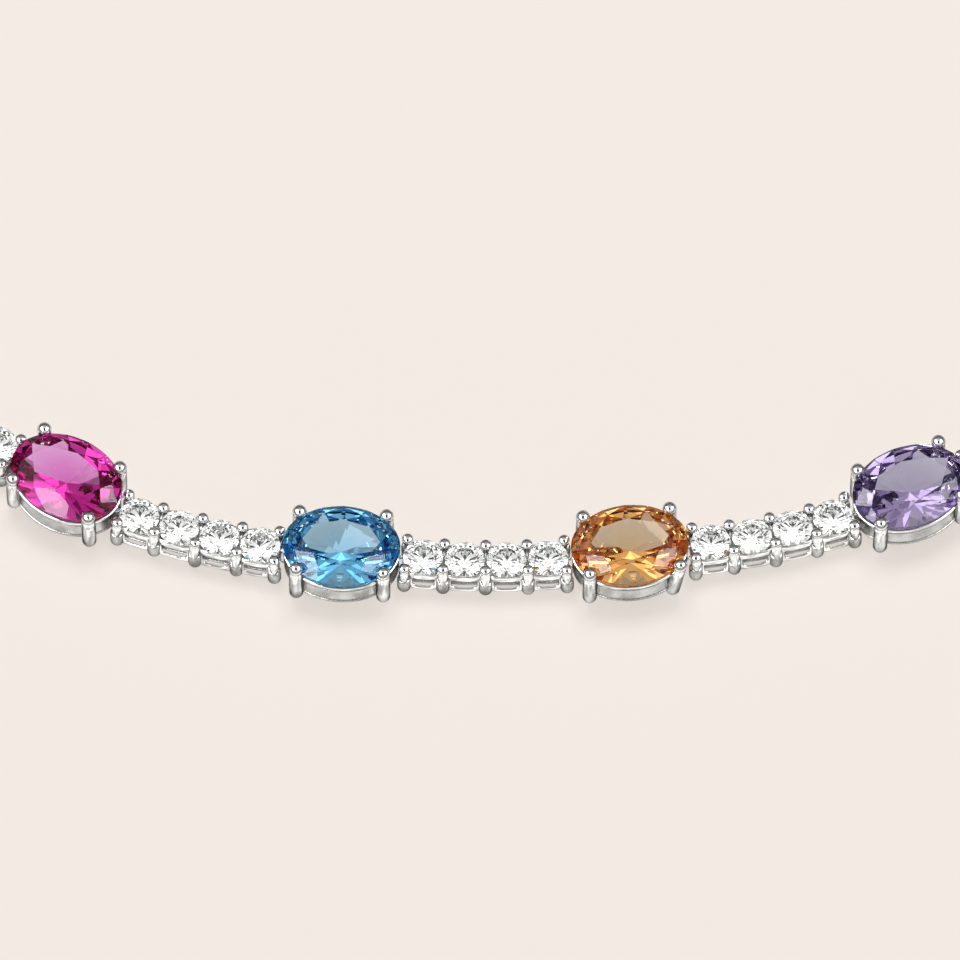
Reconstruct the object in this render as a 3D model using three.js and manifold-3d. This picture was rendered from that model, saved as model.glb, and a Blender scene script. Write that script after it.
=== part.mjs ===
// A choker necklace laid out in its closed loop: eighteen oval stones in four-claw settings, joined
// by seventeen cast bars of four small round stones each, and closed at the back by a box clasp.
// Millimetres, +Z up. The origin is the middle of the loop on the surface that the feet stand on;
// the front of the necklace faces -Y and the clasp is at +Y.
import * as THREE from "three";
import { mergeVertices } from "three/addons/utils/BufferGeometryUtils.js";
import Module from "manifold-3d";

const wasm = await Module();
wasm.setup();

// ---------------------------------------------------------------- driving dimensions

const CLEARANCE = 0.22; // between a stone and the metal that holds it

const OVAL_STONE = {
  length: 8.0,
  width: 6.0,
  girdleHeight: 3.1, // middle of the girdle above the surface
  girdle: 0.16,
  crown: 0.95,
  pavilion: 2.45,
  tableShare: 0.62,
  facets: 12,
};

const ROUND_STONE = {
  diameter: 2.6,
  tableHeight: 2.62,
  tableShare: 0.58,
  facets: 8,
};

// The two oval rings of a setting; length and width are outside sizes.
const UPPER_RING = { length: 7.96, width: 5.96, wall: 0.3, bottom: 1.95, top: 2.38 };
const LOWER_RING = { length: 7.7, width: 5.72, wall: 0.45, bottom: 0.65, top: 1.0 };
const RING_SIDES = 12;

// One claw of an oval setting: from its foot up to the ball that grips the crown.
const CLAW = {
  along: 2.87, // from the middle of the stone
  across: 2.09,
  ballHeight: 3.7,
  radius: 0.43,
  sides: 5,
};

// One bar: four round collets cast in one piece on a shallow arc, sharing their prongs. Under
// each stone a window runs through it from front to back.
const BAR = {
  stones: 4,
  pitch: 2.786,
  archRadius: 55,
  halfWidth: 1.36,
  bottom: 0.15,
  window: [0.6, 1.15], // bottom and top
  seat: 1.6, // top of the casting, where the stones and prongs rise from it
  halfLength: 5.56,
};

const PRONG = {
  sharedHalfWidth: 0.97, // prongs between two stones, to each side
  endHalfWidth: 1.04, // prongs at the two ends of a bar
  endFromStone: 1.08, // along the bar, past the middle of the last stone
  rooted: 0.2, // depth in the casting, as for the stones
  radius: 0.36, // to its corners
  shoulder: 2.5,
  top: 2.85,
  sides: 4,
};

// The closed eye at each end of a bar, which runs round the lower ring of the next setting.
const EYE = { wire: 0.24, halfWidth: 0.3, play: 0.33, rooted: 0.2 };

// A plain box; span is the distance between the middles of its two eyes.
const CLASP = {
  span: 14.0,
  length: 11.6,
  width: 4.8,
  height: 2.7,
  corner: 1.1,
  cornerSegments: 3,
  bevel: 0.3,
};

const OVAL_COUNT = 18;
const LINK_PITCH = 19.24; // from one oval stone to the next along the chain

// How the loop lies at its front: the heading of each link in degrees, anticlockwise from +X, going
// outwards from the middle bar. The other links turn evenly from there to the clasp.
const FRONT_HEADINGS = {
  middle: -0.5,
  left: [-3.2, -15.0, -29.5],
  right: [6.2, 12.6, 21.3],
};
const CLOSING_ROUNDS = 12; // the ends of the chain meet within a few

const STONE_COLOURS = [
  ["pink", 0xc0186f],
  ["blue", 0x2f86bd],
  ["orange", 0xd98a3a],
  ["violet", 0x6f5a9c],
];

// ---------------------------------------------------------------- materials

const whiteMetal = new THREE.MeshStandardMaterial({ color: 0xd9d9dc, roughness: 0.12, metalness: 1 });
const stoneMaterials = new Map(
  STONE_COLOURS.map(([name, color]) => [
    name,
    new THREE.MeshStandardMaterial({ color, roughness: 0.03, metalness: 0 }),
  ]),
);

// ---------------------------------------------------------------- solids

// A closed geometry as a manifold-3d solid.
function solid(geometry) {
  const plain = geometry.index ? geometry.toNonIndexed() : geometry.clone();
  plain.deleteAttribute("normal");
  plain.deleteAttribute("uv");
  const merged = mergeVertices(plain, 1e-4);
  return new wasm.Manifold(
    new wasm.Mesh({
      numProp: 3,
      vertProperties: merged.attributes.position.array,
      triVerts: new Uint32Array(merged.index.array),
    }),
  );
}

// A manifold-3d solid back as a geometry.
function geometryOf(made) {
  const mesh = made.getMesh();
  return new THREE.BufferGeometry()
    .setAttribute("position", new THREE.BufferAttribute(new Float32Array(mesh.vertProperties), 3))
    .setIndex(new THREE.BufferAttribute(new Uint32Array(mesh.triVerts), 1));
}

const union = (geometries) => geometries.map(solid).reduce((whole, piece) => whole.add(piece));

// A profile of [radius, height] pairs turned about the Z axis.
function turned(profile, sides) {
  const points = profile.map(([radius, height]) => new THREE.Vector2(radius, height));
  return new THREE.LatheGeometry(points, sides).rotateX(Math.PI / 2);
}

// A flat outline in XY raised from one height to another.
function raised(shape, bottom, top, curveSegments) {
  return new THREE.ExtrudeGeometry(shape, {
    depth: top - bottom,
    bevelEnabled: false,
    curveSegments,
  }).translate(0, 0, bottom);
}

// An oval ring with an even wall.
function ovalRing({ length, width, wall, bottom, top }) {
  const outline = new THREE.Shape().absellipse(0, 0, length / 2, width / 2, 0, 2 * Math.PI, false);
  const inside = new THREE.Path().absellipse(
    0, 0, length / 2 - wall, width / 2 - wall, 0, 2 * Math.PI, true,
  );
  outline.holes.push(inside);
  // An ellipse is drawn with twice as many sides as it has curve segments.
  return raised(outline, bottom, top, RING_SIDES / 2);
}

// An oval brilliant in outline: culet, girdle, crown and table. Growth swells it on every side.
function ovalStone(growth = 0) {
  const { length, width, girdleHeight, girdle, crown, pavilion, tableShare, facets } = OVAL_STONE;
  const low = girdleHeight - girdle / 2 - growth;
  const high = girdleHeight + girdle / 2 + growth;
  return turned(
    [[0, low - pavilion], [1, low], [1, high], [tableShare, high + crown], [0, high + crown]],
    facets,
  ).scale(length / 2 + growth, width / 2 + growth, 1);
}

// A claw from its foot to its ball; alongSign and acrossSign pick one of the four.
function claw(alongSign, acrossSign) {
  const { along, across, ballHeight, radius, sides } = CLAW;
  return turned([[0, 0], [radius, 0], [radius, ballHeight], [0, ballHeight + radius]], sides)
    .translate(alongSign * along, acrossSign * across, 0);
}

const SIGNS = [-1, 1];
const PAIRS = SIGNS.flatMap((along) => SIGNS.map((across) => [along, across]));

// Two rings and four claws soldered into one piece, with the stone's seat cut out of them.
function ovalSetting() {
  const metal = union([
    ovalRing(UPPER_RING),
    ovalRing(LOWER_RING),
    ...PAIRS.map(([along, across]) => claw(along, across)),
  ]);
  return geometryOf(metal.subtract(solid(ovalStone(CLEARANCE))));
}

// ---------------------------------------------------------------- the eyes and spans

const RING_REACH = LOWER_RING.length / 2 - LOWER_RING.wall / 2; // middle of the lower ring's wall
const OVAL_SPAN = 2 * RING_REACH;
const BAR_SPAN = LINK_PITCH - OVAL_SPAN;

// The closed eye round a lower ring, centred on the pivot at distance `pivot` along X.
function eye(pivot, bodyEnd) {
  const { wire, halfWidth, play } = EYE;
  const halfHole = LOWER_RING.wall / 2 + play;
  const low = LOWER_RING.bottom - play;
  const high = LOWER_RING.top + play;
  const outline = new THREE.Shape()
    .moveTo(bodyEnd, low - wire)
    .lineTo(pivot + halfHole + wire, low - wire)
    .lineTo(pivot + halfHole + wire, high + wire)
    .lineTo(bodyEnd, high + wire)
    .closePath();
  const hole = new THREE.Path()
    .moveTo(pivot - halfHole, low)
    .lineTo(pivot - halfHole, high)
    .lineTo(pivot + halfHole, high)
    .lineTo(pivot + halfHole, low)
    .closePath();
  outline.holes.push(hole);
  // The outline is drawn in X and Z, and its thickness runs across the bar.
  return raised(outline, -halfWidth, halfWidth).rotateX(Math.PI / 2);
}

const bothEnds = (geometry) => [geometry, geometry.clone().rotateZ(Math.PI)];

// ---------------------------------------------------------------- the bar

// The bar's arc runs through its two pivots and bulges to -Y, the outside of the loop.
const ARCH_CENTRE = Math.sqrt(BAR.archRadius ** 2 - (BAR_SPAN / 2) ** 2);

// A point of the bar: `along` its arc from the middle, and `inward` from the arc.
function onArch(along, inward) {
  const angle = along / BAR.archRadius;
  const radius = BAR.archRadius - inward;
  return new THREE.Vector2(radius * Math.sin(angle), ARCH_CENTRE - radius * Math.cos(angle));
}

const stonePlaces = Array.from(
  { length: BAR.stones },
  (_, i) => (i - (BAR.stones - 1) / 2) * BAR.pitch,
);
const sharedPlaces = stonePlaces.slice(1).map((along) => along - BAR.pitch / 2);
const endPlace = stonePlaces.at(-1) + PRONG.endFromStone;

// The solid part of the bar: a band that follows the arch, straight from prong to prong.
function barBody() {
  const { halfWidth, bottom, seat, halfLength } = BAR;
  const stations = [-halfLength, ...sharedPlaces, halfLength];
  const outline = new THREE.Shape([
    ...stations.map((along) => onArch(along, -halfWidth)),
    ...stations.toReversed().map((along) => onArch(along, halfWidth)),
  ]);
  return raised(outline, bottom, seat);
}

// The window under one stone, long enough to cut right through the bar.
function barWindow(along) {
  const { pitch, archRadius, halfWidth, window } = BAR;
  const place = onArch(along, 0);
  const length = pitch - 2 * PRONG.radius;
  return new THREE.BoxGeometry(length, 4 * halfWidth, window[1] - window[0])
    .rotateZ(along / archRadius)
    .translate(place.x, place.y, (window[0] + window[1]) / 2);
}

// A prong that rises from the casting, turned to stand square on the arch.
function prong(along, offset) {
  const { rooted, radius, shoulder, top, sides } = PRONG;
  const place = onArch(along, offset);
  const bottom = BAR.seat - rooted;
  return turned([[0, bottom], [radius, bottom], [radius, shoulder], [0, top]], sides)
    .rotateZ(Math.PI / sides + along / BAR.archRadius)
    .translate(place.x, place.y, 0);
}

// The part of a round stone above its seat, with flats towards its neighbours.
function roundStone(along) {
  const { diameter, tableHeight, tableShare, facets } = ROUND_STONE;
  const place = onArch(along, 0);
  const radius = diameter / 2;
  const bottom = BAR.seat - PRONG.rooted;
  return turned(
    [[0, bottom], [radius, bottom], [radius * tableShare, tableHeight], [0, tableHeight]],
    facets,
  ).rotateZ(Math.PI / facets).translate(place.x, place.y, 0);
}

// The whole bar as one casting, with its row of stones in place.
function stoneBar() {
  const prongs = SIGNS.flatMap((side) => [
    ...sharedPlaces.map((along) => prong(along, side * PRONG.sharedHalfWidth)),
    ...[-endPlace, endPlace].map((along) => prong(along, side * PRONG.endHalfWidth)),
  ]);
  const eyes = bothEnds(eye(BAR_SPAN / 2, BAR.halfLength - EYE.rooted));
  const filled = union([barBody(), ...eyes, ...prongs, ...stonePlaces.map(roundStone)]);
  return geometryOf(filled.subtract(union(stonePlaces.map(barWindow))));
}

// ---------------------------------------------------------------- the clasp

// A plain closed box clasp with an eye at each end.
function boxClasp() {
  const { span, length, width, height, corner, cornerSegments, bevel } = CLASP;
  const x = length / 2 - bevel;
  const y = width / 2 - bevel;
  const outline = new THREE.Shape()
    .moveTo(-x + corner, -y)
    .lineTo(x - corner, -y)
    .absarc(x - corner, -y + corner, corner, -Math.PI / 2, 0, false)
    .absarc(x - corner, y - corner, corner, 0, Math.PI / 2, false)
    .absarc(-x + corner, y - corner, corner, Math.PI / 2, Math.PI, false)
    .absarc(-x + corner, -y + corner, corner, Math.PI, 1.5 * Math.PI, false);
  const body = new THREE.ExtrudeGeometry(outline, {
    depth: height - 2 * bevel,
    bevelThickness: bevel,
    bevelSize: bevel,
    bevelSegments: 1,
    curveSegments: cornerSegments,
  }).translate(0, 0, bevel);
  return geometryOf(union([body, ...bothEnds(eye(span / 2, length / 2 - EYE.rooted))]));
}

// ---------------------------------------------------------------- the lay of the loop

// The links in order from the left of the clasp round the front to its right, and the clasp last.
const links = Array.from({ length: 2 * OVAL_COUNT - 1 }, (_, i) => (i % 2 === 0 ? OVAL_SPAN : BAR_SPAN));
const spans = [...links, CLASP.span];
const frontLink = OVAL_COUNT - 1;
const halfLoop = spans.reduce((sum, span) => sum + span, 0) / 2;

// The distance of a link's middle from the middle of the front bar, right being positive.
function station(index) {
  const sign = Math.sign(index - frontLink);
  const between = sign < 0 ? spans.slice(index + 1, frontLink) : spans.slice(frontLink + 1, index);
  const gap = between.reduce((sum, span) => sum + span, 0);
  return sign * (spans[frontLink] / 2 + gap + spans[index] / 2);
}

const frontSide = (index) => (index < frontLink ? FRONT_HEADINGS.left : FRONT_HEADINGS.right);
const stepsFromMiddle = (index) => Math.abs(index - frontLink);
const isBehindFront = (index) => stepsFromMiddle(index) > frontSide(index).length;

// A link's heading before the loop is closed, in degrees.
function openHeading(index) {
  const side = frontSide(index);
  if (stepsFromMiddle(index) === 0) {
    return FRONT_HEADINGS.middle;
  }
  if (!isBehindFront(index)) {
    return side[stepsFromMiddle(index) - 1];
  }
  const sign = Math.sign(index - frontLink);
  const from = Math.abs(station(frontLink + sign * side.length));
  const share = (Math.abs(station(index)) - from) / (halfLoop - from);
  return THREE.MathUtils.lerp(side.at(-1), sign * 180, share);
}

// Turns the links behind the front by the least angles that make the two ends of the chain meet.
function closedHeadings() {
  const headings = spans.map((_, index) => THREE.MathUtils.degToRad(openHeading(index)));
  for (let round = 0; round < CLOSING_ROUNDS; round += 1) {
    const miss = new THREE.Vector2();
    let [xx, xy, yy] = [0, 0, 0];
    spans.forEach((span, index) => {
      const along = new THREE.Vector2(Math.cos(headings[index]), Math.sin(headings[index]));
      miss.addScaledVector(along, span);
      if (isBehindFront(index)) {
        xx += (span * along.y) ** 2;
        xy -= span * span * along.x * along.y;
        yy += (span * along.x) ** 2;
      }
    });
    const size = xx * yy - xy * xy;
    const pullX = (yy * miss.x - xy * miss.y) / size;
    const pullY = (xx * miss.y - xy * miss.x) / size;
    spans.forEach((span, index) => {
      if (isBehindFront(index)) {
        headings[index] += span * (pullX * Math.sin(headings[index]) - pullY * Math.cos(headings[index]));
      }
    });
  }
  return headings;
}

// One group for each link, set between its two pivots.
function layLinks() {
  const pivot = new THREE.Vector2();
  return closedHeadings().map((heading, index) => {
    const link = new THREE.Group();
    const half = new THREE.Vector2(Math.cos(heading), Math.sin(heading)).multiplyScalar(spans[index] / 2);
    pivot.add(half);
    link.position.set(pivot.x, pivot.y, 0);
    link.rotation.z = heading;
    pivot.add(half);
    return link;
  });
}

function named(name, geometry, material) {
  const mesh = new THREE.Mesh(geometry, material);
  mesh.name = name;
  return mesh;
}

// ---------------------------------------------------------------- the necklace

const settingGeometry = ovalSetting();
const stoneGeometry = ovalStone();
const barGeometry = stoneBar();

const necklace = new THREE.Group();
layLinks().forEach((link, index) => {
  const number = String(Math.floor(index / 2) + 1).padStart(2, "0");
  if (index === links.length) {
    link.add(named("clasp", boxClasp(), whiteMetal));
  } else if (index % 2 === 1) {
    link.add(named(`stone_bar_${number}`, barGeometry, whiteMetal));
  } else {
    const [colour] = STONE_COLOURS[Number(number) % STONE_COLOURS.length];
    link.add(named(`setting_${number}`, settingGeometry, whiteMetal));
    link.add(named(`${colour}_stone_${number}`, stoneGeometry, stoneMaterials.get(colour)));
  }
  necklace.add(link);
});

const extent = new THREE.Box3().setFromObject(necklace, true);
const middle = extent.getCenter(new THREE.Vector3());
necklace.position.set(-middle.x, -middle.y, -extent.min.z);

export default necklace;
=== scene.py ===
"""A choker necklace lying in its closed loop: oval stones in four-claw settings, joined by bars of
four small brilliants each, with a box clasp at the back.

Each link is worked out in millimetres in its own axes (x along the chain, y towards the inside of
the loop, z up from the surface), and is then laid where its CAD node lies."""

import math
from collections import namedtuple

import bpy
import numpy as np
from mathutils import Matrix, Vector


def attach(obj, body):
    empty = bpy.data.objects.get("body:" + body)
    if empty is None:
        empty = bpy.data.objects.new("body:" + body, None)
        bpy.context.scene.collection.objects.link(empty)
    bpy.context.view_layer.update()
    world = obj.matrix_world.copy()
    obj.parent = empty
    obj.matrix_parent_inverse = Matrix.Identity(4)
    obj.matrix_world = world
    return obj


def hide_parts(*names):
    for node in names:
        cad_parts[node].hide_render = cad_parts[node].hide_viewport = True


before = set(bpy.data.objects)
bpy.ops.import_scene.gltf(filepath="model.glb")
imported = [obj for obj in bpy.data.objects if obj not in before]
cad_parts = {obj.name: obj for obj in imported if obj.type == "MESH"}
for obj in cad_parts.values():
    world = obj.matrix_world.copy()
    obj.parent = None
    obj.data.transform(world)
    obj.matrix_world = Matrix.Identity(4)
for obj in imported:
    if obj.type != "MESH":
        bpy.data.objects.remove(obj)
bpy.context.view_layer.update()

MM = 0.001
TAU = 2 * math.pi
SEED = 18

# How finely the shapes are worked out: the sides of a claw and of a prong, the girdle's steps to a
# half facet of a large and of a small stone, and the points round a plate's opening.
CLAW_SIDES, PRONG_SIDES = 20, 14
TIP_ANGLES = (-35, -15, 8, 30, 52, 73, 90)  # of a claw's tip, from its neck to its top, in degrees
OVAL_STEPS, ROUND_STEPS = 4, 2
PLATE_POINTS = 32

# ---------------------------------------------------------------- driving dimensions, in mm

# Oval brilliants of 8 x 6 mm, and the small round ones of a bar. The table is a share of the
# length and of the width; star and lower_half say how far up the crown, and how far down the
# pavilion, the small facets' tips lie.
Cut = namedtuple("Cut", "length width girdle_height girdle crown pavilion table star lower_half")
OVAL = Cut(7.88, 5.82, 3.2, 0.2, 0.82, 2.4, table=(0.66, 0.52), star=0.66, lower_half=0.78)
ROUND = Cut(2.66, 2.66, 2.2, 0.07, 0.42, 1.13, table=(0.57, 0.57), star=0.69, lower_half=0.79)

# The oval rails of a setting and the gallery's wall that rises from the lower one: outside size,
# the wall's thickness, and the height of its bottom, of its outer face and of the bevel that rises
# inwards from that.
Rail = namedtuple("Rail", "length width wall bottom face bevel squareness")
UPPER_RAIL = Rail(7.84, 5.78, 0.4, 2.2, 0.4, 0.0, 4.0)
LOWER_RAIL = Rail(7.7, 5.72, 0.36, 0.42, 0.22, 0.0, 4.0)
GALLERY_WALL = Rail(7.54, 5.56, 0.28, 0.5, 0.15, 1.02, 5.0)

# A claw or prong: where its tip is, the tip's radius and rise, how far its foot leans out, and the
# stem's profile from below as (radius, height). The tips of the large claws are half balls, and
# those of the small prongs are low domes over a stem that runs out in front of a foot block.
Claw = namedtuple("Claw", "along across tip_height tip rise lean stem")
OVAL_CLAW = Claw(
    2.9, 2.11, 3.74, 0.475, 0.45, -0.05,
    [(0.3, 0.0), (0.45, 0.06), (0.49, 0.22), (0.49, 1.1), (0.47, 2.6), (0.45, 3.35)],
)  # fmt: skip
PRONG_STEM = [(0.08, 0.85), (0.17, 1.05), (0.26, 1.4), (0.34, 1.9), (0.375, 2.35)]
SHARED_PRONG = Claw(0.0, 0.94, 2.62, 0.39, 0.26, 0.76, PRONG_STEM)
END_PRONG = Claw(5.33, 1.1, 2.6, 0.39, 0.26, 0.46, PRONG_STEM)
# The front right claw of one setting is bent: how far its foot and its tip lie along the chain from
# where a straight one's would.
BENT_CLAW = {"setting": "10", "foot": -0.25, "tip": 0.24}
# The foot block under a prong: how far out its axis is, and its profile.
FOOT_BLOCK = [(0.38, 0.0), (0.44, 0.05), (0.455, 0.16), (0.455, 1.2), (0.42, 1.3), (0.3, 1.34)]
SHARED_FOOT, END_FOOT = 1.13, 1.19

# A bar: four collets cast in one piece along a shallow arch, with a slot under each stone. Each
# side wall is bowed round its stone, so that it draws back by the bow at both its ends.
STONES_IN_BAR = 4
STONE_PITCH = 2.786
ARCH_RADIUS = 55.0
SIDE_WALL = {
    "face": 1.46, "thickness": 0.22, "bottom": 0.14, "top": 2.05, "bow": 0.3, "batter": 0.14
}  # fmt: skip
SLOT = {"length": 1.7, "bottom": 0.52, "top": 1.46}
CROSS_WALL = {"half_length": 1.0, "thickness": 0.2, "bottom": 0.3, "top": 2.0}
END_WALL = {"at": 5.42, "half_length": 1.0, "thickness": 0.26, "bottom": 0.16, "top": 1.75}
# The plate under the stones, pierced under each.
GALLERY = {"half_width": 0.9, "thickness": 0.2, "height": 0.3, "hole": 0.7}

# Small stones are set by hand, so that each may be this far off level, as a slope.
MOST_TILT = math.tan(math.radians(2))

# The closed eye at each end of a bar and of the clasp, round the lower rail of the next setting:
# its wire, its play round the rail, and how far it is rooted in the body.
EYE = {"wire": 0.3, "play": 0.27, "rooted": 0.25}
PIVOT = LOWER_RAIL.length / 2 - LOWER_RAIL.wall / 2  # from the middle of an oval, along it

CLASP = {"length": 11.6, "width": 4.8, "height": 2.7}
# How far its lid falls towards its ends and towards its sides, as a share of its height.
CROWN = {"ends": 0.08, "sides": 0.2}

# The camera stands in front of the necklace and looks down at it.
CAMERA_ELEVATION = 64.7  # degrees
VIEW_WIDTH = 64.2
VIEW_MIDDLE = (-0.38, 6.64)  # right of and behind the middle of the front bar
LENS, SENSOR = 800.0, 36.0
CLIP = 0.01, 20.0  # m

# ---------------------------------------------------------------- shapes as arrays

# Points in mm, arrays of faces with the same number of corners, and a finish for each array. A
# finish is a place in the piece's list of materials: metal is polished or satin, and a stone
# polished or ground.
Shape = namedtuple("Shape", "points faces finish")
POLISHED, SATIN, GROUND = 0, 1, 1


def joined(shapes):
    """One shape of many: the points one after the other, each shape's corners counted on."""
    shapes = list(shapes)
    starts = np.cumsum([0] + [len(s.points) for s in shapes])
    return Shape(
        np.vstack([s.points for s in shapes]),
        [f + start for s, start in zip(shapes, starts) for f in s.faces],
        [n for s in shapes for n in s.finish],
    )


def moved(shape, change):
    """The shape with its points changed by a function of (x, y, z) that gives the new three."""
    return shape._replace(points=np.stack(np.broadcast_arrays(*change(*shape.points.T)), 1))


def satin(shape):
    """The shape with all its faces satin."""
    return shape._replace(finish=[SATIN] * len(shape.finish))


def turned_about_z(shape, angle):
    """x' = x cos a - y sin a and y' = x sin a + y cos a."""
    c, s = math.cos(angle), math.sin(angle)
    return moved(shape, lambda x, y, z: (c * x - s * y, s * x + c * y, z))


def power(value, exponent):
    """The value's size raised to a power, with its sign kept; it squares off a circle."""
    return np.sign(value) * np.abs(value) ** exponent


def squared_circle(count, squareness):
    """Points of |x|^n + |y|^n = 1: a circle at n = 2, and nearly a square from n = 6."""
    angle = (np.arange(count) + 0.5) * TAU / count
    return power(np.cos(angle), 2 / squareness), power(np.sin(angle), 2 / squareness)


def ring_faces(rows, columns):
    """Quads of a grid that is closed in both directions, as on a torus."""
    row, column = np.meshgrid(np.arange(rows), np.arange(columns), indexing="ij")
    down, right = (row + 1) % rows, (column + 1) % columns
    corners = [row * columns + column, down * columns + column,
               down * columns + right, row * columns + right]  # fmt: skip
    return np.stack(corners, -1).reshape(-1, 4)


def turned(radii, heights, sides):
    """A profile turned about z: (r cos a, r sin a, h), closed to a point at both its ends."""
    angle = np.arange(sides) * TAU / sides
    r, h = np.asarray(radii)[1:-1, None], np.asarray(heights)[1:-1, None]
    body = np.stack(np.broadcast_arrays(r * np.cos(angle), r * np.sin(angle), h), -1)
    points = np.vstack([body.reshape(-1, 3), (0, 0, heights[0]), (0, 0, heights[-1])])
    rows = len(r)
    here = np.arange(sides)
    there = (here + 1) % sides
    start = np.arange(rows - 1)[:, None] * sides
    quads = np.stack([start + here, start + there, start + sides + there, start + sides + here], -1)
    low, high = rows * sides, rows * sides + 1
    last = (rows - 1) * sides
    foot = np.stack([there, here, np.full(sides, low)], 1)
    head = np.stack([last + here, last + there, np.full(sides, high)], 1)
    return Shape(points, [quads.reshape(-1, 4), foot, head], [POLISHED] * 3)


def claw(size, sides):
    """A claw about its own axis: its stem's profile, then an ellipse for the tip, all turned about
    z. The foot leans out by an amount that falls evenly to nothing at the tip."""
    turn = np.radians(TIP_ANGLES)
    tip = zip(size.tip * np.cos(turn), size.tip_height + size.rise * np.sin(turn))
    shape = turned(*zip((0, size.stem[0][1]), *size.stem, *tip), sides)
    return moved(
        shape, lambda x, y, z: (x, y + size.lean * (1 - np.clip(z / size.tip_height, 0, 1)), z)
    )


def foot_block(sides):
    """The round satin block that a prong stands in, about its own axis."""
    (_, low), *_, (_, high) = FOOT_BLOCK
    return satin(turned(*zip((0, low), *FOOT_BLOCK, (0, high)), sides))


def four_corners(shape, along, across):
    """The shape at (+-along, +-across), turned so that its y points away from the stone. At along 0
    there are only two. The last is in front, at +along."""
    places = (-along, along) if along else (0.0,)
    for turn, sign in ((0, 1), (math.pi, -1)):
        out = turned_about_z(shape, turn)
        for at in places:
            yield moved(out, lambda x, y, z, a=at, b=sign * across: (x + a, y + b, z))


def oval_rail(rail, columns=64, rows=16):
    """A rounded band carried round an ellipse: the ellipse's point, moved inwards along its normal
    by the band's offset, at the band's height. Its top rises inwards by the bevel."""
    angle = np.arange(columns) * TAU / columns
    long, wide = rail.length / 2, rail.width / 2
    along, across = long * np.cos(angle), wide * np.sin(angle)
    normal = np.stack([np.cos(angle) / long, np.sin(angle) / wide])
    normal /= np.linalg.norm(normal, axis=0)
    offset, rise = squared_circle(rows, rail.squareness)
    inwards = (1 - offset) / 2
    height = rail.bottom + (1 + rise) / 2 * (rail.face + rail.bevel * inwards)
    x = along[:, None] - normal[0][:, None] * inwards * rail.wall
    y = across[:, None] - normal[1][:, None] * inwards * rail.wall
    points = np.stack(np.broadcast_arrays(x, y, height), -1)
    return Shape(points.reshape(-1, 3), [ring_faces(columns, rows)], [POLISHED])


def rounded_block(size, squareness=6, columns=24, rows=10):
    """A block with rounded edges: a squared circle for its plan, scaled at each height by a second
    squared circle for its section. Its plan closes to a point in the middle of top and bottom."""
    along, across = squared_circle(columns, squareness)
    turn = np.linspace(-math.pi / 2, math.pi / 2, rows + 1)[1:-1]
    scale, rise = power(np.cos(turn), 2 / squareness), power(np.sin(turn), 2 / squareness)
    shape = turned([0, *scale, 0], [-1, *rise, 1], columns)
    plan = scale[:, None] * along, scale[:, None] * across
    body = np.stack(np.broadcast_arrays(*plan, rise[:, None]), -1)
    points = np.vstack([body.reshape(-1, 3), shape.points[-2:]]) * np.asarray(size) / 2
    return shape._replace(points=points)


def eye(inner_end, pivot, columns=28, rows=8):
    """A closed loop of round wire standing along x: a squared circle of wire round the lower rail
    and the gallery's wall, from inside the body's end to beyond the rail, whose middle lies at the
    pivot."""
    wire, play = EYE["wire"], EYE["play"]
    far = pivot + LOWER_RAIL.wall / 2 + play + wire / 2
    low = LOWER_RAIL.bottom - play
    high = GALLERY_WALL.bottom + GALLERY_WALL.face + GALLERY_WALL.bevel + play
    middle, half = (inner_end + far) / 2, (far - inner_end) / 2
    across, up = squared_circle(columns, squareness=3)
    height = (low + high) / 2 + (high - low) / 2 * up
    centre = np.stack([middle + half * across, 0 * across, height])
    tangent = np.roll(centre, -1, 1) - np.roll(centre, 1, 1)
    out = np.stack([tangent[2], 0 * across, -tangent[0]])
    out /= np.linalg.norm(out, axis=0)
    angle = np.arange(rows) * TAU / rows
    side = np.array([0, -1, 0])[:, None, None]
    ring = out[:, :, None] * np.cos(angle) + side * np.sin(angle)
    points = centre[:, :, None] + wire / 2 * ring
    return Shape(points.reshape(3, -1).T, [ring_faces(columns, rows)], [POLISHED])


def cross(a, b):
    """Twice the area between two flat vectors; it is positive where b lies to the left of a."""
    return a[..., 0] * b[..., 1] - a[..., 1] * b[..., 0]


def facet_tips(rim, mains, normal, summit, share, steps):
    """The small facets' tips on one side of the girdle, and how far the girdle's edge dips there.
    A main facet is the plane that holds its own point of the girdle, the girdle's tangent in that
    point and its summit; a tip is where two neighbouring planes meet at a share of the height. The
    half facets run from the tips to the girdle's chords, and reach the rim beyond each chord by a
    share of that height: the rim's distance from the chord over the tip's."""
    reach = (mains * normal).sum(1) - share * ((mains - summit) * normal).sum(1)
    pairs = np.stack([normal, np.roll(normal, -1, 0)], 1)
    tips = np.linalg.solve(pairs, np.stack([reach, np.roll(reach, -1)], 1)[..., None])[..., 0]
    start = rim[::steps]
    chord = np.roll(start, -1, 0) - start
    beyond = cross(chord[:, None], rim.reshape(16, steps, 2) - start[:, None])
    return tips, (beyond / cross(chord, np.repeat(tips, 2, 0) - start)[:, None]).ravel()


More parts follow.
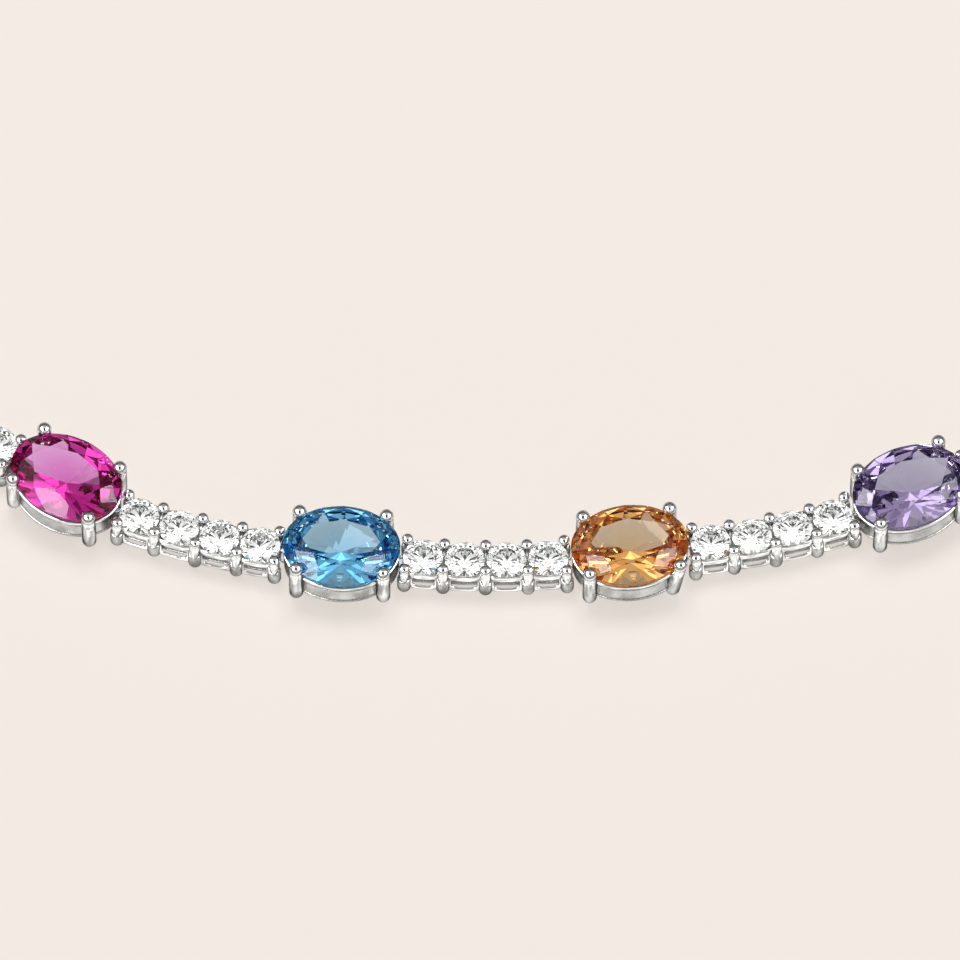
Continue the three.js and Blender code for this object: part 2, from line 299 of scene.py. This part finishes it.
def brilliant(cut, steps):
    """A brilliant of 57 facets in an ellipse: a table, eight stars, eight kites and sixteen halves
    above the girdle, eight kites and sixteen halves below it. The girdle is a smooth wall of this
    many steps to a half facet, whose edges dip where the flat halves run out into it."""
    count = 16 * steps
    around = np.arange(count) * TAU / count
    half = np.array([cut.length, cut.width]) / 2
    rim = half * np.stack([np.cos(around), np.sin(around)], 1)
    mains = rim[:: 2 * steps]
    normal = mains / half**2
    normal /= np.linalg.norm(normal, axis=1, keepdims=True)
    table = mains * cut.table
    stars, upper_dip = facet_tips(rim, mains, normal, table, cut.star, steps)
    tips, lower_dip = facet_tips(rim, mains, normal, 0 * mains, cut.lower_half, steps)
    edge = cut.girdle / 2
    points = np.vstack([
        np.column_stack([plan, np.broadcast_to(height, len(plan))])
        for plan, height in (
            (table, edge + cut.crown),
            (stars, edge + cut.crown * cut.star),
            (rim, edge + cut.crown * cut.star * upper_dip),
            (rim, -edge - cut.pavilion * cut.lower_half * lower_dip),
            (tips, -edge - cut.pavilion * cut.lower_half),
            (np.zeros((1, 2)), -edge - cut.pavilion),
        )
    ])  # fmt: skip
    # The points' numbers: eight corners of the table, eight stars, two rims, eight tips, the culet.
    eight = np.arange(8)
    corner, star, tip = eight, 8 + eight, 16 + 2 * count + eight
    upper, lower = 16 + np.arange(count), 16 + count + np.arange(count)
    culet = np.full(8, 24 + 2 * count)
    first, second = (
        ((2 * eight + shift) * steps)[:, None] + np.arange(steps + 1) for shift in (0, 1)
    )
    at_main = 2 * steps * eight
    faces = [
        corner[None],
        np.stack([corner, star, np.roll(corner, -1)], 1),
        np.stack([corner, np.roll(star, 1), upper[at_main], star], 1),
        *(np.column_stack([star, upper[side % count]]) for side in (first, second)),
        *(np.column_stack([tip, lower[side % count][:, ::-1]]) for side in (first, second)),
        np.stack([culet, tip, lower[at_main], np.roll(tip, 1)], 1),
        np.stack([lower, np.roll(lower, -1), np.roll(upper, -1), upper], 1),
    ]
    stone = Shape(points, faces, [POLISHED] * (len(faces) - 1) + [GROUND])
    return moved(stone, lambda x, y, z: (x, y, z + cut.girdle_height))


# ---------------------------------------------------------------- the links

# Each link has a pivot at both its ends, which lie in the lower rails of the settings: the link's
# middle, its heading along the chain, and its span from one pivot to the other. All bars are alike.
Link = namedtuple("Link", "middle heading span")


def node_points(name):
    """A CAD node's vertices in mm."""
    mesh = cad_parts[name].data
    flat = np.empty(3 * len(mesh.vertices), np.float32)
    mesh.vertices.foreach_get("co", flat)
    return flat.reshape(-1, 3).astype(float) / MM


def oval_axis(name):
    """The middle of an oval stone, and its long axis as the first principal axis of its plan."""
    plan = node_points(name)[:, :2]
    middle = (plan.min(0) + plan.max(0)) / 2
    spread = np.cov((plan - plan.mean(0)).T)
    return middle, np.linalg.eigh(spread)[1][:, -1]


# The stones in the order of the number that each name ends in, which runs round the loop.
stone_names = sorted((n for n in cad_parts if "_stone_" in n), key=lambda n: n[-2:])
found = [oval_axis(name) for name in stone_names]
middles = np.array([middle for middle, _ in found])
ahead = np.roll(middles, -1, 0) - np.roll(middles, 1, 0)
axes = np.array([axis for _, axis in found])
axes *= np.sign((axes * ahead).sum(1))[:, None]
ovals = [Link(middle, axis, 2 * PIVOT) for middle, axis in zip(middles, axes)]


def between(one, other):
    """The link from the far pivot of one oval to the near pivot of the next."""
    start = one.middle + one.span / 2 * one.heading
    end = other.middle - other.span / 2 * other.heading
    span = np.linalg.norm(end - start)
    return Link((start + end) / 2, (end - start) / span, span)


bars = [between(one, other) for one, other in zip(ovals, ovals[1:])]
clasp = between(ovals[-1], ovals[0])
half_bar = bars[0].span / 2
arch_middle = math.sqrt(ARCH_RADIUS**2 - half_bar**2)


def laid(shape, link):
    """The shape turned to the link's heading and shifted to its middle."""
    (u, v), (a, b) = link.heading, link.middle
    return moved(shape, lambda x, y, z: (a + u * x - v * y, b + v * x + u * y, z))


def arched(shape):
    """Bends x round an arc that bulges to -y: the angle is x over the radius, and y is measured
    inwards from the arc."""
    return moved(
        shape,
        lambda x, y, z: (
            (ARCH_RADIUS - y) * np.sin(x / ARCH_RADIUS),
            arch_middle - (ARCH_RADIUS - y) * np.cos(x / ARCH_RADIUS),
            z,
        ),
    )


def pierced_plate(opening, outline, thickness, rows=12):
    """A plate with one opening and rounded edges: a ring section that turns from the opening's
    outline to the plate's and back, so that each point is a blend of the two outlines. Each
    outline is (x, y); the result is (x, y, depth), with depth 0 on the front face. A plate is
    mirrored as it is put in place, so its faces are wound the other way round here."""
    share, depth = squared_circle(rows, squareness=2.6)
    share = (1 + share[:, None]) / 2
    x, y = ((1 - share) * inner + share * outer for inner, outer in zip(opening, outline))
    down = thickness / 2 * (1 - depth[:, None])
    points = np.stack(np.broadcast_arrays(x, y, down), -1)
    faces = ring_faces(rows, PLATE_POINTS)[:, [0, 3, 2, 1]]
    return Shape(points.reshape(-1, 3), [faces], [POLISHED])


def side_panel(middle, length):
    """The wall under one stone with its slot. It draws back by the square of the way from its
    middle, and evenly towards its top."""
    wall, slot = SIDE_WALL, SLOT
    height, slot_height = wall["top"] - wall["bottom"], slot["top"] - slot["bottom"]
    across, up = squared_circle(PLATE_POINTS, squareness=4)
    slot_length = slot["length"] - STONE_PITCH + length
    opening = slot_length / 2 * across, slot["bottom"] + slot_height * (1 + up) / 2
    across, up = squared_circle(PLATE_POINTS, squareness=9)
    outline = length / 2 * across, wall["bottom"] + height * (1 + up) / 2

    def stood_up(x, y, depth):
        bow = wall["bow"] * (2 * x / length) ** 2
        batter = wall["batter"] * (y - wall["bottom"]) / height
        return x + middle, depth - wall["face"] + bow + batter, y

    return moved(pierced_plate(opening, outline, wall["thickness"]), stood_up)


def gallery_plate(middle, length):
    """The satin plate under one stone, with a round opening."""
    across, out = squared_circle(PLATE_POINTS, squareness=2)
    opening = GALLERY["hole"] * across, GALLERY["hole"] * out
    across, out = squared_circle(PLATE_POINTS, squareness=9)
    outline = length / 2 * across, GALLERY["half_width"] * out
    plate = pierced_plate(opening, outline, GALLERY["thickness"])
    return satin(moved(plate, lambda x, y, depth: (x + middle, y, GALLERY["height"] - depth)))


def both_sides(shape):
    """The shape and the same after half a turn about z."""
    return [shape, turned_about_z(shape, math.pi)]


stone_places = (np.arange(STONES_IN_BAR) - (STONES_IN_BAR - 1) / 2) * STONE_PITCH
shared_places = (stone_places[1:] + stone_places[:-1]) / 2


def bar_casting():
    """The metal of a bar: side walls with slots, cross walls, prongs and an eye at each end."""
    panels = []
    for place in stone_places:
        start = max(place - STONE_PITCH / 2, -END_PRONG.along)
        end = min(place + STONE_PITCH / 2, END_PRONG.along)
        span = (start + end) / 2, end - start
        panels += [*both_sides(side_panel(*span)), gallery_plate(*span)]
    prong, foot = claw(SHARED_PRONG, PRONG_SIDES), foot_block(PRONG_SIDES)
    pair = [
        *four_corners(prong, SHARED_PRONG.along, SHARED_PRONG.across),
        *four_corners(foot, SHARED_PRONG.along, SHARED_FOOT),
    ]
    shared = [
        moved(out, lambda x, y, z, p=place: (x + p, y, z))
        for place in shared_places
        for out in pair
    ]
    ends = [
        *four_corners(claw(END_PRONG, PRONG_SIDES), END_PRONG.along, END_PRONG.across),
        *four_corners(foot, END_PRONG.along, END_FOOT),
    ]
    walls = [wall_across(place, CROSS_WALL) for place in shared_places]
    walls += [wall_across(sign * END_WALL["at"], END_WALL) for sign in (-1, 1)]
    straight = joined([*panels, *shared, *ends, *walls])
    loop = eye(END_WALL["at"] - EYE["rooted"], half_bar)
    return joined([arched(straight), *both_sides(loop)])


def wall_across(place, wall):
    """A rounded satin wall from one side of the bar to the other."""
    height = wall["top"] - wall["bottom"]
    block = rounded_block((wall["thickness"], 2 * wall["half_length"], height))
    return satin(moved(block, lambda x, y, z: (x + place, y, z + wall["bottom"] + height / 2)))


def setting(bent=False):
    """A polished upper rail and four claws, and a satin gallery of the lower rail with a wall on
    it. A bent claw's shift along the chain changes evenly from its foot to its tip."""
    straight = claw(OVAL_CLAW, CLAW_SIDES)
    *claws, last = four_corners(straight, OVAL_CLAW.along, OVAL_CLAW.across)
    if bent:
        foot, tip = BENT_CLAW["foot"], BENT_CLAW["tip"]
        lean = (tip - foot) / OVAL_CLAW.tip_height
        last = moved(last, lambda x, y, z: (x + foot + lean * z, y, z))
    gallery = [satin(oval_rail(rail)) for rail in (GALLERY_WALL, LOWER_RAIL)]
    return joined([oval_rail(UPPER_RAIL), *gallery, *claws, last])


def box_clasp():
    """A closed satin box with soft edges, and an eye at each end. Its height falls by a share of
    the square of the way from its middle, along and across."""
    length, width, height = CLASP["length"], CLASP["width"], CLASP["height"]

    def crowned(x, y, z):
        fall = CROWN["ends"] * (2 * x / length) ** 2 + CROWN["sides"] * (2 * y / width) ** 2
        return x, y, (z + height / 2) * (1 - fall)

    box = moved(rounded_block((length, width, height), columns=64, rows=24), crowned)
    loop = eye(length / 2 - EYE["rooted"], clasp.span / 2)
    return joined([satin(box), *both_sides(loop)])


def bar_stones(link, draw):
    """The four brilliants of a bar, each turned at random, z sheared by its slopes along x and y,
    and seated where the arc is at its place."""
    stone = brilliant(ROUND, ROUND_STEPS)
    for place in stone_places:
        turn, tip_x, tip_y = draw.uniform((0, -1, -1), (TAU, 1, 1)) * (1, MOST_TILT, MOST_TILT)
        stone_here = turned_about_z(stone, turn)
        tilted = moved(stone_here, lambda x, y, z: (x, y, z + tip_x * x + tip_y * y))
        angle = place / ARCH_RADIUS
        a, b = ARCH_RADIUS * math.sin(angle), arch_middle - ARCH_RADIUS * math.cos(angle)
        seated = moved(turned_about_z(tilted, angle), lambda x, y, z: (x + a, y + b, z))
        yield laid(seated, link)


# ---------------------------------------------------------------- materials


def linear(code):
    """An sRGB hex colour as linear red, green, blue and full alpha."""
    parts = np.array([int(code[i : i + 2], 16) for i in (1, 3, 5)]) / 255
    low, high = parts / 12.92, ((parts + 0.055) / 1.055) ** 2.4
    return (*np.where(parts <= 0.04045, low, high), 1.0)


def add(tree, kind, inputs=None, **settings):
    """Adds a node. Settings are its properties; inputs are its sockets, each a value or a link."""
    node = tree.nodes.new(kind)
    for name, value in settings.items():
        setattr(node, name, value)
    for name, value in (inputs or {}).items():
        if isinstance(value, bpy.types.NodeSocket):
            tree.links.new(value, node.inputs[name])
        else:
            node.inputs[name].default_value = value
    return node


def new_material(name):
    """A material with an empty node tree, and the tree."""
    material = bpy.data.materials.new(name)
    material.use_nodes = True
    material.node_tree.nodes.clear()
    return material, material.node_tree


def per_mm(size):
    """The scale that gives a pattern features of this size in mm."""
    return 1 / (size * MM)


# Over what distance the metal's surface wavers, and over what distance it is grained, in mm.
WAVER_SIZE, GRAIN_SIZE = 0.7, 0.12
# A metal's tint at grazing angles. It is dark, so that a rounded surface darkens towards its edges
# and stands out from the pale floor.
METAL_EDGE = "#4A4A49"


def rhodium_plate(name, tone, roughness, waver, grain):
    """Rhodium plate over cast silver: a cold, bright white. Waver and grain are how far the surface
    is from true, in mm, over their two distances; the roughness varies with the grain."""
    material, tree = new_material(name)
    place = add(tree, "ShaderNodeTexCoord").outputs["Object"]
    broad = add(
        tree, "ShaderNodeTexNoise",
        {"Vector": place, "Scale": per_mm(WAVER_SIZE), "Detail": 1.0},
    )  # fmt: skip
    fine = add(
        tree, "ShaderNodeTexNoise",
        {"Vector": place, "Scale": per_mm(GRAIN_SIZE), "Detail": 3.0},
    )  # fmt: skip
    rough = add(
        tree, "ShaderNodeMapRange",
        {"Value": fine.outputs["Fac"], "To Min": roughness[0], "To Max": roughness[1]},
    )  # fmt: skip
    uneven = add(
        tree, "ShaderNodeBump",
        {"Height": broad.outputs["Fac"], "Strength": 1.0, "Distance": waver * MM},
    )  # fmt: skip
    bump = add(
        tree, "ShaderNodeBump",
        {
            "Height": fine.outputs["Fac"],
            "Strength": 1.0,
            "Distance": grain * MM,
            "Normal": uneven.outputs["Normal"],
        },
    )  # fmt: skip
    shader = add(
        tree, "ShaderNodeBsdfPrincipled",
        {
            "Base Color": linear(tone),
            "Metallic": 1.0,
            "Roughness": rough.outputs["Result"],
            "Normal": bump.outputs["Normal"],
            "Specular Tint": linear(METAL_EDGE),
        },
    )  # fmt: skip
    add(tree, "ShaderNodeOutputMaterial", {"Surface": shader.outputs["BSDF"]})
    return material


COLOUR_DEPTH = 6.0  # mm
# A stone's tint for its outer reflection. It takes some of the white off, so that the stone's own
# colour shows.
STONE_EDGE = "#989898"


def cut_stone(name, seen_through, ior, roughness):
    """A clear crystal. The colour is in the body, so it deepens with the length of the path: the
    absorption is -ln(what is left) / COLOUR_DEPTH for each of red, green and blue."""
    material, tree = new_material(name)
    taken = -np.log(np.array(linear(seen_through)[:3])) / (COLOUR_DEPTH * MM)
    most = taken.max()
    shader = add(
        tree, "ShaderNodeBsdfPrincipled",
        {
            "Base Color": linear("#FFFFFF"),
            "Roughness": roughness,
            "IOR": ior,
            "Transmission Weight": 1.0,
            "Specular Tint": linear(STONE_EDGE),
        },
    )  # fmt: skip
    body = add(
        tree, "ShaderNodeVolumeAbsorption", {"Color": (*(1 - taken / most), 1.0), "Density": most}
    )
    add(
        tree, "ShaderNodeOutputMaterial",
        {"Surface": shader.outputs["BSDF"], "Volume": body.outputs["Volume"]},
    )  # fmt: skip
    return material


# The coloured stones are spinel, grown and then cut and polished: a glassy, saturated body with
# bright flashes. The white ones are cubic zirconia, which bends light more and so shows more and
# smaller flashes, white and grey. The colour is what is left of white light after COLOUR_DEPTH.
REFRACTION = {"spinel": 1.72, "zirconia": 2.16}
STONE_BODIES = {
    "pink": ("spinel", "#C4419A"),
    "blue": ("spinel", "#77B8DA"),
    "orange": ("spinel", "#E5B072"),
    "violet": ("spinel", "#AA9BBE"),
    "white": ("zirconia", "#E0E2DF"),
}

# Upper rails, claws, prongs, side walls and eyes are polished by hand: clear reflections that waver
# a little. Foot blocks, the walls across, plates, galleries and the clasp are plated as they were
# cast, which gives a satin: soft grey, with no clear reflections. Each pair of numbers is the least
# and the most roughness.
metal = [
    rhodium_plate("polished_rhodium", "#F3F3F2", (0.03, 0.12), 0.025, 0.0),
    rhodium_plate("satin_rhodium", "#BBBBB9", (0.2, 0.35), 0.03, 0.008),
]
# The facets are polished and look clear; the girdle is left ground and looks frosted.
stones = {
    name: [
        cut_stone(f"{name}_{kind}_{finish}", code, REFRACTION[kind], roughness)
        for finish, roughness in (("polished", 0.0), ("ground", 0.3))
    ]
    for name, (kind, code) in STONE_BODIES.items()
}


def make_piece(name, shape, materials, replaces, smooth):
    """Puts a shape in mm into a mesh in metres, gives each face its finish's material, hangs the
    piece on the root body, and hides the CAD nodes that it stands for."""
    faces = shape.faces
    counts = np.concatenate([np.full(len(f), f.shape[1]) for f in faces])
    corners = np.concatenate([f.ravel() for f in faces]).astype(np.int32)
    mesh = bpy.data.meshes.new(name)
    mesh.vertices.add(len(shape.points))
    mesh.vertices.foreach_set("co", (shape.points * MM).astype(np.float32).ravel())
    mesh.loops.add(len(corners))
    mesh.loops.foreach_set("vertex_index", corners)
    mesh.polygons.add(len(counts))
    mesh.polygons.foreach_set("loop_start", (np.cumsum(counts) - counts).astype(np.int32))
    mesh.polygons.foreach_set("use_smooth", np.full(len(counts), smooth))
    mesh.update(calc_edges=True)
    for material in materials:
        mesh.materials.append(material)
    finish = np.repeat(shape.finish, [len(f) for f in faces]).astype(np.int32)
    mesh.polygons.foreach_set("material_index", finish)
    piece = bpy.data.objects.new(name, mesh)
    bpy.context.scene.collection.objects.link(piece)
    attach(piece, "root")
    for node in replaces:
        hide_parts(node)


one_setting, bent_setting, one_casting = setting(), setting(bent=True), bar_casting()
one_oval = brilliant(OVAL, OVAL_STEPS)
for name, link in zip(stone_names, ovals):
    colour, _, number = name.split("_")
    shape = bent_setting if number == BENT_CLAW["setting"] else one_setting
    make_piece(f"claw_setting_{number}", laid(shape, link), metal,
               [f"setting_{number}"], smooth=True)  # fmt: skip
    make_piece(f"{colour}_oval_{number}", laid(one_oval, link), stones[colour],
               [name], smooth=False)  # fmt: skip

draw = np.random.default_rng(SEED)
for index, link in enumerate(bars, 1):
    make_piece(f"bar_casting_{index:02d}", laid(one_casting, link), metal,
               [f"stone_bar_{index:02d}"], smooth=True)  # fmt: skip
    make_piece(f"bar_brilliants_{index:02d}", joined(bar_stones(link, draw)), stones["white"],
               [], smooth=False)  # fmt: skip

make_piece("box_clasp", laid(box_clasp(), clasp), metal, ["clasp"], smooth=True)

# ---------------------------------------------------------------- the scene

# The floor and the tent differ for the eye, for the metal and for the stones, as if each had its
# own cards and flags. The eye sees an even pale floor. The metal sees a floor that is bright close
# by and dark further off, in soft streaks, which gives it its light and dark bands. The stones see
# lighter and darker patches, which their facets break up.

FLOOR_SIZE = 6.0  # m
CARD = "#8B8680"
# The glow's colour and strength for each. For the metal the strength goes from near to far over
# the reach, in mm, times a share that varies in streaks. Streaks and patches have a width in mm,
# and a spread: the part of the pattern's own range that is drawn out over the whole result.
TO_EYE = {"glow": "#F2EAE3", "strength": 0.69}
TO_METAL = {
    "glow": "#E9E8E6", "reach": (5.0, 12.0), "strength": (1.45, 0.12),
    "streak": 1.4, "spread": (0.38, 0.62), "share": (0.4, 1.15),
}  # fmt: skip
TO_STONES = {"glow": "#F0F3F9", "strength": (0.48, 0.9), "patch": 2.6, "spread": (0.25, 0.75)}
BACKDROP = "#F3EBE4"


def glowing(tree, shader, code, strength):
    """The shader with some light of its own, which evens out the shadows."""
    glow = add(tree, "ShaderNodeEmission", {"Color": linear(code), "Strength": strength})
    return add(tree, "ShaderNodeAddShader", {0: shader, 1: glow.outputs[0]}).outputs["Shader"]


def make_floor():
    """A pale card that glows, by what looks at it. It isn't part of the necklace."""
    half = FLOOR_SIZE / 2
    mesh = bpy.data.meshes.new("floor")
    corners = [(-half, -half, 0), (half, -half, 0), (half, half, 0), (-half, half, 0)]
    mesh.from_pydata(corners, [], [(0, 1, 2, 3)])
    material, tree = new_material("pale_card")
    card = add(tree, "ShaderNodeBsdfDiffuse", {"Color": linear(CARD)}).outputs["BSDF"]
    path = add(tree, "ShaderNodeLightPath").outputs
    place = add(tree, "ShaderNodeTexCoord").outputs["Object"]
    patches = add(
        tree, "ShaderNodeTexVoronoi", {"Vector": place, "Scale": per_mm(TO_STONES["patch"])}
    )
    streaks = add(
        tree, "ShaderNodeTexNoise",
        {"Vector": place, "Scale": per_mm(TO_METAL["streak"]), "Detail": 1.0},
    )  # fmt: skip
    drawn_out = []
    for value, (low, high), (first, last) in (
        (patches.outputs["Color"], TO_STONES["spread"], TO_STONES["strength"]),
        (streaks.outputs["Fac"], TO_METAL["spread"], TO_METAL["share"]),
        (path["Ray Length"], np.array(TO_METAL["reach"]) * MM, TO_METAL["strength"]),
    ):
        mapped = add(
            tree, "ShaderNodeMapRange",
            {"Value": value, "From Min": low, "From Max": high, "To Min": first, "To Max": last},
        )  # fmt: skip
        drawn_out.append(mapped.outputs["Result"])
    patchy, streaky, fading = drawn_out
    both = add(tree, "ShaderNodeMath", {0: fading, 1: streaky}, operation="MULTIPLY")
    shader = glowing(tree, card, TO_EYE["glow"], TO_EYE["strength"])
    reflected = glowing(tree, card, TO_METAL["glow"], both.outputs["Value"])
    refracted = glowing(tree, card, TO_STONES["glow"], patchy)
    for rays, other in (("Is Glossy Ray", reflected), ("Is Transmission Ray", refracted)):
        mix = add(tree, "ShaderNodeMixShader", {0: path[rays], 1: shader, 2: other})
        shader = mix.outputs["Shader"]
    add(tree, "ShaderNodeOutputMaterial", {"Surface": shader})
    mesh.materials.append(material)
    floor = bpy.data.objects.new("floor", mesh)
    bpy.context.scene.collection.objects.link(floor)


front_bar = bars[len(bars) // 2]
target = Vector((*(front_bar.middle + VIEW_MIDDLE) * MM, 0.0))


def direction(azimuth, elevation):
    """A unit vector; azimuth 0 is in front of the necklace, and 90 to its right, in degrees."""
    a, e = math.radians(azimuth), math.radians(elevation)
    return Vector((math.sin(a) * math.cos(e), -math.cos(a) * math.cos(e), math.sin(e)))


def make_camera():
    """A long lens, so far off that the view is as wide as it should be at the target."""
    data = bpy.data.cameras.new("camera")
    data.lens, data.sensor_width = LENS, SENSOR
    data.clip_start, data.clip_end = CLIP
    distance = VIEW_WIDTH * MM * LENS / SENSOR
    camera = bpy.data.objects.new("camera", data)
    back = direction(0, CAMERA_ELEVATION)
    camera.location = target + back * distance
    camera.rotation_euler = (-back).to_track_quat("-Z", "Y").to_euler()
    bpy.context.scene.collection.objects.link(camera)
    bpy.context.scene.camera = camera


LIGHT_DISTANCE = 1.6  # m
# Cards that show only as reflections: azimuth and elevation in degrees, width and height in m, and
# how bright the face looks. The two keys make the bright flashes of the facets.
CARDS = (
    ("left_box", -82, 44, (1.8, 1.4), 1.1),
    ("right_box", 82, 44, (1.8, 1.4), 1.0),
    ("left_key", -71, 45, (1.9, 0.5), 13.0),
    ("right_key", 80, 43, (1.1, 0.5), 10.0),
    ("front_card", 0, 20, (3.4, 0.75), 0.15),
)
# The one light on the floor. It stands behind, so that the shadows fall to the front.
BACK_BOX = ("back_box", 180, 66, (0.9, 0.6), 12.5)


def softbox(name, azimuth, elevation, size, radiance, lights_floor=False):
    """A flat light that faces the front of the necklace; its power is pi times its area times how
    bright its face looks."""
    data = bpy.data.lights.new(name, "AREA")
    data.shape, data.size, data.size_y = "RECTANGLE", *size
    data.energy = math.pi * size[0] * size[1] * radiance
    light = bpy.data.objects.new(name, data)
    away = direction(azimuth, elevation)
    light.location = target + away * LIGHT_DISTANCE
    light.rotation_euler = away.to_track_quat("Z", "Y").to_euler()
    light.visible_camera = light.visible_transmission = False
    light.visible_diffuse = lights_floor
    light.visible_glossy = not lights_floor
    bpy.context.scene.collection.objects.link(light)


# How bright the tent is by the cosine of the angle from the camera, and by the sine of the height.
TENT = (
    [
        (0.0, 0.12), (0.15, 0.25), (0.5, 0.34), (0.68, 0.38), (0.8, 0.78), (0.915, 0.8),
        (0.935, 0.02),
    ],
    [(0.0, 0.4), (0.15, 0.6), (0.35, 1.0)],
)
TENT_FOR_STONES = (
    [
        (0.0, 0.6), (0.3, 0.8), (0.5, 0.95), (0.62, 0.95), (0.7, 2.6), (0.8, 2.6), (0.88, 0.95),
        (0.96, 0.95), (0.975, 0.1),
    ],
    [(0.0, 0.4), (0.15, 0.7), (0.35, 1.0)],
)


def make_world():
    """A soft tent. It is brightest round the opening that the camera looks in by, which is dark
    itself, and falls to dark grey towards the ground."""
    world = bpy.data.worlds.new("tent")
    world.use_nodes = True
    tree = world.node_tree
    tree.nodes.clear()
    way = add(tree, "ShaderNodeTexCoord").outputs["Generated"]
    height = add(tree, "ShaderNodeSeparateXYZ", {"Vector": way}).outputs["Z"]
    towards = direction(0, CAMERA_ELEVATION)
    facing = add(
        tree, "ShaderNodeVectorMath", {0: way, 1: towards}, operation="DOT_PRODUCT"
    ).outputs["Value"]
    path = add(tree, "ShaderNodeLightPath").outputs

    def inside(tent):
        """The two grey ramps of a tent, one times the other."""
        greys = []
        for value, stops in zip((facing, height), tent):
            node = add(tree, "ShaderNodeValToRGB", {"Fac": value})
            ramp = node.color_ramp.elements
            ramp[0].position, ramp[1].position = stops[0][0], stops[-1][0]
            for position, _ in stops[1:-1]:
                ramp.new(position)
            for element, (_, grey) in zip(ramp, stops):
                element.color = (grey, grey, grey, 1)
            greys.append(node.outputs["Color"])
        light = dict(enumerate(greys))
        both = add(tree, "ShaderNodeVectorMath", light, operation="MULTIPLY").outputs["Vector"]
        return add(tree, "ShaderNodeBackground", {"Color": both}).outputs["Background"]

    backdrop = add(tree, "ShaderNodeBackground", {"Color": linear(BACKDROP)}).outputs["Background"]
    shader, for_stones = inside(TENT), inside(TENT_FOR_STONES)
    for rays, other in (("Is Transmission Ray", for_stones), ("Is Camera Ray", backdrop)):
        mix = add(tree, "ShaderNodeMixShader", {0: path[rays], 1: shader, 2: other})
        shader = mix.outputs["Shader"]
    add(tree, "ShaderNodeOutputWorld", {"Surface": shader})
    bpy.context.scene.world = world


make_floor()
make_camera()
make_world()
for card in CARDS:
    softbox(*card)
softbox(*BACK_BOX, lights_floor=True)

scene = bpy.context.scene
# Colours come out as they are given.
scene.view_settings.view_transform = "Standard"
# Light bounces many times inside a cut stone before it comes out.
scene.cycles.max_bounces = 24
scene.cycles.glossy_bounces = 16
scene.cycles.transmission_bounces = 24
scene.cycles.use_denoising = True
